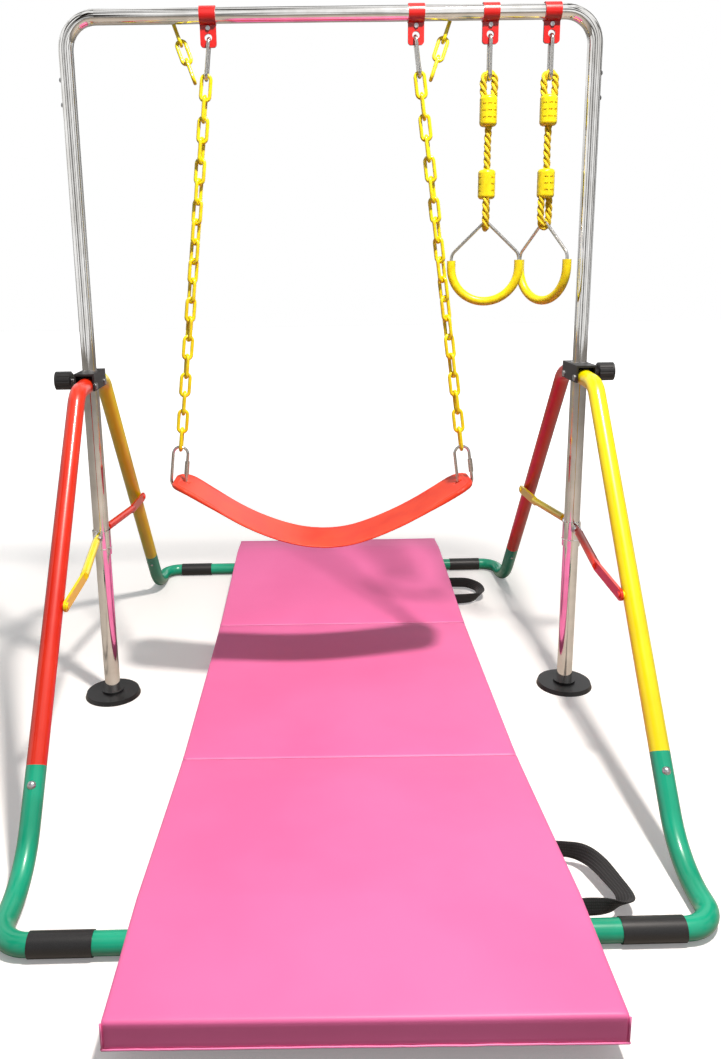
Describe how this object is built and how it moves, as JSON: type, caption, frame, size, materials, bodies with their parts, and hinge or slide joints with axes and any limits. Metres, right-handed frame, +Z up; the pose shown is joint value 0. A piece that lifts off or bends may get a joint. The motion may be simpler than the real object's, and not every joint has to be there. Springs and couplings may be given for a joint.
{
  "type": "folding gymnastics bar",
  "caption": "Folding gymnastics bar on a tubular frame, with a height-adjustable bar, belt swing on chains, hanging rings and a folding floor mat.",
  "frame": {"origin": "on the floor, at the centre of the object's bounding box", "axes": "+X along the bar to the right seen from the front, +Y from the front to the back, +Z up"},
  "size_m": [1.126, 1.8378, 1.38],
  "materials": {
    "chrome tube": "polished chrome plate",
    "black plastic": "moulded, satin",
    "black rubber": "moulded, matt",
    "zinc hardware": "bright zinc plate",
    "chrome collar": "bright plate",
    "red hanger": "gloss powder coat",
    "yellow chain": "dipped plastic coating, gloss",
    "nickel snap hook": "nickel plate",
    "red seat": "moulded EVA, soft gloss",
    "yellow rope": "three-strand twist",
    "yellow bead": "moulded",
    "steel ring wire": "bright drawn wire",
    "yellow grip": "moulded",
    "red enamel": "gloss powder coat",
    "yellow enamel": "gloss powder coat",
    "green enamel": "gloss powder coat",
    "pink mat cover": "coated vinyl fabric over closed-cell foam",
    "black webbing": "ribbed webbing"
  },
  "bodies": {
    "frame": {"left_post": "chrome tube", "right_post": "chrome tube", "left_foot_disc": "black rubber", "right_foot_disc": "black rubber", "left_clamp_block": "black plastic", "right_clamp_block": "black plastic", "leg_hinge_pins": "zinc hardware", "plunger_housings": "zinc hardware"},
    "top_bar": {"top_bar": "chrome tube", "left_upright": "chrome tube", "right_upright": "chrome tube", "joint_spigots": "chrome tube", "joint_screws": "zinc hardware", "swing_hangers": "red hanger", "ring_hangers": "red hanger", "hanger_screws": "zinc hardware", "chain_tails": "yellow chain"},
    "swing": {"swing_carabiners": "nickel snap hook", "swing_chain_left": "yellow chain", "swing_chain_right": "yellow chain", "quick_links": "nickel snap hook", "swing_seat": "red seat"},
    "left_ring": {"left_ring_carabiner": "nickel snap hook", "left_ring_rope": "yellow rope", "left_ring_beads": "yellow bead", "left_ring_wire": "steel ring wire", "left_ring_grip": "yellow grip"},
    "right_ring": {"right_ring_carabiner": "nickel snap hook", "right_ring_rope": "yellow rope", "right_ring_beads": "yellow bead", "right_ring_wire": "steel ring wire", "right_ring_grip": "yellow grip"},
    "front_frame": {"front_left_leg": "red enamel", "front_right_leg": "yellow enamel", "front_floor_tube": "green enamel", "front_leg_bolts": "zinc hardware", "front_floor_sleeves": "black plastic"},
    "rear_frame": {"rear_left_leg": "yellow enamel", "rear_right_leg": "red enamel", "rear_floor_tube": "green enamel", "rear_leg_bolts": "zinc hardware", "rear_floor_sleeves": "black plastic"},
    "left_collar": {"left_collar": "chrome collar", "left_collar_pins": "zinc hardware"},
    "right_collar": {"right_collar": "chrome collar", "right_collar_pins": "zinc hardware"},
    "front_left_link": {"front_left_link": "yellow enamel"},
    "front_right_link": {"front_right_link": "red enamel"},
    "rear_left_link": {"rear_left_link": "red enamel"},
    "rear_right_link": {"rear_right_link": "yellow enamel"},
    "left_knob": {"left_knob": "black plastic", "left_plunger_pin": "zinc hardware"},
    "right_knob": {"right_knob": "black plastic", "right_plunger_pin": "zinc hardware"},
    "mat_middle": {"mat_middle_panel": "pink mat cover"},
    "mat_front": {"mat_front_panel": "pink mat cover", "mat_front_handle": "black webbing"},
    "mat_rear": {"mat_rear_panel": "pink mat cover", "mat_rear_handle": "black webbing"}
  },
  "joints": [
    {"name": "bar_height", "type": "slide", "parent": "frame", "child": "top_bar", "axis": [0, 0, 1], "range_m": [-0.24, 0.12]},
    {"name": "swing_swing", "type": "hinge", "parent": "top_bar", "child": "swing", "pos_m": [-0.0355, 0.0325, 1.313], "axis": [1, 0, 0], "range_deg": [-60, 60]},
    {"name": "left_ring_swing", "type": "hinge", "parent": "top_bar", "child": "left_ring", "pos_m": [0.297, 0.0325, 1.313], "axis": [1, 0, 0], "range_deg": [-60, 60]},
    {"name": "right_ring_swing", "type": "hinge", "parent": "top_bar", "child": "right_ring", "pos_m": [0.412, 0.0325, 1.313], "axis": [1, 0, 0], "range_deg": [-60, 60]},
    {"name": "front_fold", "type": "hinge", "parent": "frame", "child": "front_frame", "pos_m": [0, -0.0055, 0.683], "axis": [1, 0, 0], "range_deg": [0, 38]},
    {"name": "rear_fold", "type": "hinge", "parent": "frame", "child": "rear_frame", "pos_m": [0, 0.0705, 0.683], "axis": [-1, 0, 0], "range_deg": [0, 38]},
    {"name": "left_collar_slide", "type": "slide", "parent": "frame", "child": "left_collar", "axis": [0, 0, 1], "range_m": [0, 0.1796]},
    {"name": "right_collar_slide", "type": "slide", "parent": "frame", "child": "right_collar", "axis": [0, 0, 1], "range_m": [0, 0.1796]},
    {"name": "front_left_link_fold", "type": "hinge", "parent": "left_collar", "child": "front_left_link", "pos_m": [-0.495, -0.0015, 0.366], "axis": [1, 0, 0], "range_deg": [0, 77.5]},
    {"name": "front_right_link_fold", "type": "hinge", "parent": "right_collar", "child": "front_right_link", "pos_m": [0.495, -0.0015, 0.366], "axis": [1, 0, 0], "range_deg": [0, 77.5]},
    {"name": "rear_left_link_fold", "type": "hinge", "parent": "left_collar", "child": "rear_left_link", "pos_m": [-0.495, 0.0665, 0.366], "axis": [-1, 0, 0], "range_deg": [0, 77.5]},
    {"name": "rear_right_link_fold", "type": "hinge", "parent": "right_collar", "child": "rear_right_link", "pos_m": [0.495, 0.0665, 0.366], "axis": [-1, 0, 0], "range_deg": [0, 77.5]},
    {"name": "left_knob_pull", "type": "slide", "parent": "frame", "child": "left_knob", "axis": [-1, 0, 0], "range_m": [0, 0.007], "stiffness_N_per_m": 800},
    {"name": "right_knob_pull", "type": "slide", "parent": "frame", "child": "right_knob", "axis": [1, 0, 0], "range_m": [0, 0.007], "stiffness_N_per_m": 800},
    {"name": "mat_lift", "type": "slide", "parent": "frame", "child": "mat_middle", "axis": [0, 0, 1], "range_m": [0, 0.2]},
    {"name": "mat_front_fold", "type": "hinge", "parent": "mat_middle", "child": "mat_front", "pos_m": [0.00742, -0.30537, 0.038], "axis": [-0.9999, 0.015, 0], "range_deg": [0, 90]},
    {"name": "mat_rear_fold", "type": "hinge", "parent": "mat_middle", "child": "mat_rear", "pos_m": [0.01658, 0.30537, 0.038], "axis": [0.9999, -0.015, 0], "range_deg": [0, 90]}
  ],
  "couplings": [
    {"joint": "rear_fold", "follows": "front_fold", "ratio": 1},
    {"joint": "left_collar_slide", "follows": "front_fold", "m_per_rad": 0.27069},
    {"joint": "right_collar_slide", "follows": "front_fold", "m_per_rad": 0.27069},
    {"joint": "front_left_link_fold", "follows": "front_fold", "ratio": 2.039},
    {"joint": "front_right_link_fold", "follows": "front_fold", "ratio": 2.039},
    {"joint": "rear_left_link_fold", "follows": "front_fold", "ratio": 2.039},
    {"joint": "rear_right_link_fold", "follows": "front_fold", "ratio": 2.039}
  ]
}
